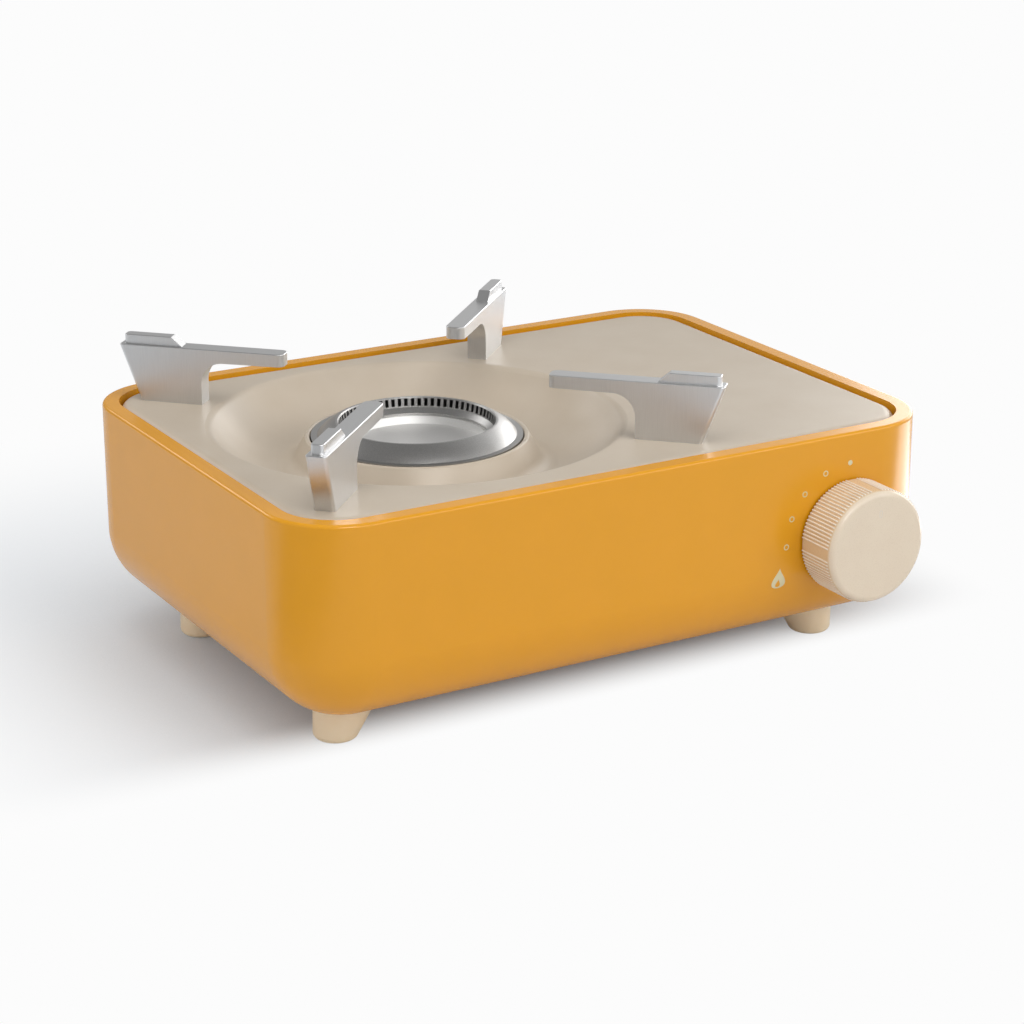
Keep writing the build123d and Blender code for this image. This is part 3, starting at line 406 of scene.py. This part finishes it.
# The scale goes round from the dot, where the gas is off, past the rings to the flame.
on_case = {"wall": front_wall, "ink": mark_ink, "body": "case", "slot": "plate_enamel"}
for step, turn in enumerate(MARK_TURNS):
    name, (inside, outside) = ("mark_ring_" + str(step), RING) if step else ("mark_off_dot", DOT)
    place = on_dial(MARK_RADIUS, turn)
    printed(name, circle(place, inside), circle(place, outside), **on_case)
flame_edge = teardrop(FLAME_CENTER, *FLAME_SIZE, FLAME_LEAN)
flame_core = teardrop(CORE_CENTER, *CORE_SIZE, CORE_LEAN)
printed("mark_flame", flame_core, flame_edge, **on_case)
pointer_edge = upright_slot(POINTER_CENTER, *POINTER_EDGE)
pointer_core = upright_slot(POINTER_CENTER, *POINTER_CORE)
printed("knob_pointer", pointer_core, pointer_edge, knob_face, pointer_ink, "knob", "knob_plastic")


# ---------------------------------------------------------------- studio
def area_light(name, place, target, size, power, in_gloss=True, in_matt=True):
    """Rectangular lamp of a size in metres and a power in watts that faces its target."""
    lamp = bpy.data.lights.new(name, "AREA")
    lamp.shape = "RECTANGLE"
    lamp.size, lamp.size_y = size
    lamp.energy = power
    holder = bpy.data.objects.new(name, lamp)
    bpy.context.scene.collection.objects.link(holder)
    holder.location = place
    direction = Vector([t - p for t, p in zip(target, place)])
    holder.rotation_euler = direction.to_track_quat("-Z", "Y").to_euler()
    holder.visible_camera = False
    holder.visible_glossy = in_gloss
    holder.visible_diffuse = in_matt


# Three softboxes light the stove, and the front one shows in gloss too. The strips show in gloss
# only: at the right on rims and supports, in the burner and bowl, and along the rear.
STOVE = (0, 0, 0.05)
area_light("softbox_front", (0.62, -1.12, 0.66), STOVE, (1.5, 0.5), 7.2)
area_light("softbox_top", (-0.15, -0.3, 1.45), STOVE, (1.3, 1.0), 8.6, in_gloss=False)
area_light("softbox_left", (-1.0, -0.2, 0.75), STOVE, (0.9, 0.9), 3.1, in_gloss=False)
area_light("strip_right", (1.03, 0.42, 0.32), (0, 0, 0.12), (0.86, 0.6), 5.3, in_matt=False)
area_light("strip_front", (-0.29, -1.1, 0.86), (-0.05, 0, 0.1), (0.5, 0.4), 6.0, in_matt=False)
area_light("strip_rear", (-0.6, 1.2, 0.85), (-0.05, 0, 0.12), (0.9, 0.25), 3.2, in_matt=False)
# A bright card on the floor, face up, for the corner by the knob: its aim is off the upright by
# a hair, which sets its turn.
CARD_X, CARD_Y, CARD_Z = 0.44, -0.09, 0.0005
area_light("card_right", (CARD_X, CARD_Y, CARD_Z), (CARD_X, CARD_Y + 0.0001, 1.0), (0.22, 0.24),
           0.6, in_matt=False)

# The room is white to the eye. Gloss sees it white low down and on the bright side, and dim
# elsewhere. Every other ray sees an even light.
EVEN_LIGHT, DIM_WALL = 0.36, 0.28
BRIGHT_SIDE = (0.95, 0.2, 0.0)
world = bpy.data.worlds.new("studio")
bpy.context.scene.world = world
world.use_nodes = True
room = world.node_tree
room.nodes.clear()
rays = add(room, "ShaderNodeLightPath")
toward = add(room, "ShaderNodeTexCoord").outputs["Generated"]
height = add(room, "ShaderNodeSeparateXYZ", links={"Vector": toward}).outputs["Z"]
side = add(room, "ShaderNodeVectorMath", {1: BRIGHT_SIDE}, {0: toward}, operation="DOT_PRODUCT")
walls = add(room, "ShaderNodeMapRange",
            {"From Min": 0.3, "From Max": 0.95, "To Min": DIM_WALL, "To Max": 1.0},
            {"Value": side.outputs["Value"]}, interpolation_type="SMOOTHSTEP")
low = add(room, "ShaderNodeMapRange",
          {"From Min": -0.05, "From Max": 0.12, "To Min": 1.0, "To Max": 0.0},
          {"Value": height}, interpolation_type="SMOOTHSTEP")
gloss = add(room, "ShaderNodeMath", {}, {0: low.outputs["Result"], 1: walls.outputs["Result"]},
            operation="MAXIMUM")
lit = add(room, "ShaderNodeMix", {"A": EVEN_LIGHT},
          {"Factor": rays.outputs["Is Glossy Ray"], "B": gloss.outputs["Value"]})
seen = add(room, "ShaderNodeMath", {},
           {0: lit.outputs["Result"], 1: rays.outputs["Is Camera Ray"]}, operation="MAXIMUM")
sky = add(room, "ShaderNodeBackground", {"Color": linear("#FCFCFC")},
          {"Strength": seen.outputs["Value"]})
add(room, "ShaderNodeOutputWorld", links={"Surface": sky.outputs["Background"]})


def patch(tree, spot, edges):
    """Part of the floor: it fades in from each edge's first place to its second, along an axis.

    The fades are multiplied, so the patch is 1 where all of them are.
    """
    share = None
    for axis, first, last in edges:
        fade = add(tree, "ShaderNodeMapRange", {"From Min": first, "From Max": last},
                   {"Value": spot.outputs[axis]}, interpolation_type="SMOOTHSTEP")
        fade = fade.outputs["Result"]
        if share is not None:
            fade = add(tree, "ShaderNodeMath", {}, {0: share, 1: fade}, operation="MULTIPLY")
            fade = fade.outputs["Value"]
        share = fade
    return share


# Paper floor. The eye sees the stove's shadow on it round the feet, partly real from the lamps and
# partly painted, as a glow dimmed by occlusion, and plain white farther out. Gloss sees the shaded
# paper everywhere, and at the left a patch of painted shade that nothing else sees. Light that only
# bounces off it finds an even pale grey.
FLOOR_REACH = 6.0
SHADED = (("Y", -0.085, -0.038), ("Y", 0.42, 0.15), ("X", -0.33, -0.165), ("X", 0.25, 0.165))
PAINTED_SHADE_PATCH = (("X", -0.27, -0.32), ("X", -0.75, -0.6), ("Y", 0.07, -0.02))
SHADE_REACH, SHADE_LEFT, SHADE_PATCH_LEFT = 0.3, 0.1, 0.05
sheet_mesh = bpy.data.meshes.new("studio_floor")
ends = [(x * FLOOR_REACH, y * FLOOR_REACH, 0) for x, y in ((-1, -1), (1, -1), (1, 1), (-1, 1))]
sheet_mesh.from_pydata(ends, [], [(0, 1, 2, 3)])
floor = bpy.data.objects.new("studio_floor", sheet_mesh)
bpy.context.scene.collection.objects.link(floor)
paper = bpy.data.materials.new("white_paper_sweep")
paper.use_nodes = True
sheet = paper.node_tree
sheet.nodes.clear()
ground = add(sheet, "ShaderNodeTexCoord").outputs["Object"]
spot = add(sheet, "ShaderNodeSeparateXYZ", links={"Vector": ground})
path = add(sheet, "ShaderNodeLightPath")
# Painted shade: a dark patch on the floor at the left, seen only in gloss, dims the glow there.
gloss_shade_patch = add(sheet, "ShaderNodeMath", {},
           {0: path.outputs["Is Glossy Ray"], 1: patch(sheet, spot, PAINTED_SHADE_PATCH)},
           operation="MULTIPLY")
dimmed = add(sheet, "ShaderNodeMapRange", {"To Min": 1.0, "To Max": SHADE_PATCH_LEFT},
             {"Value": gloss_shade_patch.outputs["Value"]})
# Painted shadow: the glow's strength follows occlusion near the stove.
open_air = add(sheet, "ShaderNodeAmbientOcclusion", {"Distance": SHADE_REACH}, samples=8)
lift = add(sheet, "ShaderNodeMapRange", {"To Min": SHADE_LEFT}, {"Value": open_air.outputs["AO"]})
level = add(sheet, "ShaderNodeMath", {}, {0: lift.outputs["Result"], 1: dimmed.outputs["Result"]},
            operation="MULTIPLY")
matt = add(sheet, "ShaderNodeBsdfDiffuse", {"Color": linear("#A8A8A8")})
painted_shadow_glow = add(sheet, "ShaderNodeEmission", {"Color": linear("#BBBFC3")},
           {"Strength": level.outputs["Value"]})
shaded = add(sheet, "ShaderNodeAddShader", {},
             {0: matt.outputs["BSDF"], 1: painted_shadow_glow.outputs["Emission"]})
white = add(sheet, "ShaderNodeEmission", {"Color": linear("#FCFCFC"), "Strength": 1.0})
kept = add(sheet, "ShaderNodeMath", {},
           {0: patch(sheet, spot, SHADED), 1: path.outputs["Is Glossy Ray"]}, operation="MAXIMUM")
to_eye = add(sheet, "ShaderNodeMixShader", {},
             {"Fac": kept.outputs["Value"], 1: white.outputs["Emission"],
              2: shaded.outputs["Shader"]})
bounce = add(sheet, "ShaderNodeBsdfDiffuse", {"Color": linear("#E8E8E8")})
look = path.outputs["Is Camera Ray"]
for ray in ("Is Glossy Ray", "Is Transmission Ray"):
    look = add(sheet, "ShaderNodeMath", {}, {0: look, 1: path.outputs[ray]}, operation="MAXIMUM")
    look = look.outputs["Value"]
cover = add(sheet, "ShaderNodeMixShader", {},
            {"Fac": look, 1: bounce.outputs["BSDF"], 2: to_eye.outputs["Shader"]})
add(sheet, "ShaderNodeOutputMaterial", links={"Surface": cover.outputs["Shader"]})
sheet_mesh.materials.append(paper)

LENS, SENSOR = 94.15, 36.0              # millimetres
DOWN, RIGHT = 19.1875, 30.2625          # degrees from level and from straight ahead
camera = bpy.data.cameras.new("camera")
camera.lens = LENS
camera.sensor_width = SENSOR
eye = bpy.data.objects.new("camera", camera)
bpy.context.scene.collection.objects.link(eye)
eye.location = (-0.6144, -1.0592 + CASE_Y, 0.4676 + CASE_LOW)
eye.rotation_euler = (radians(90 - DOWN), 0, radians(-RIGHT))
bpy.context.scene.camera = eye
bpy.context.scene.view_settings.view_transform = "Standard"
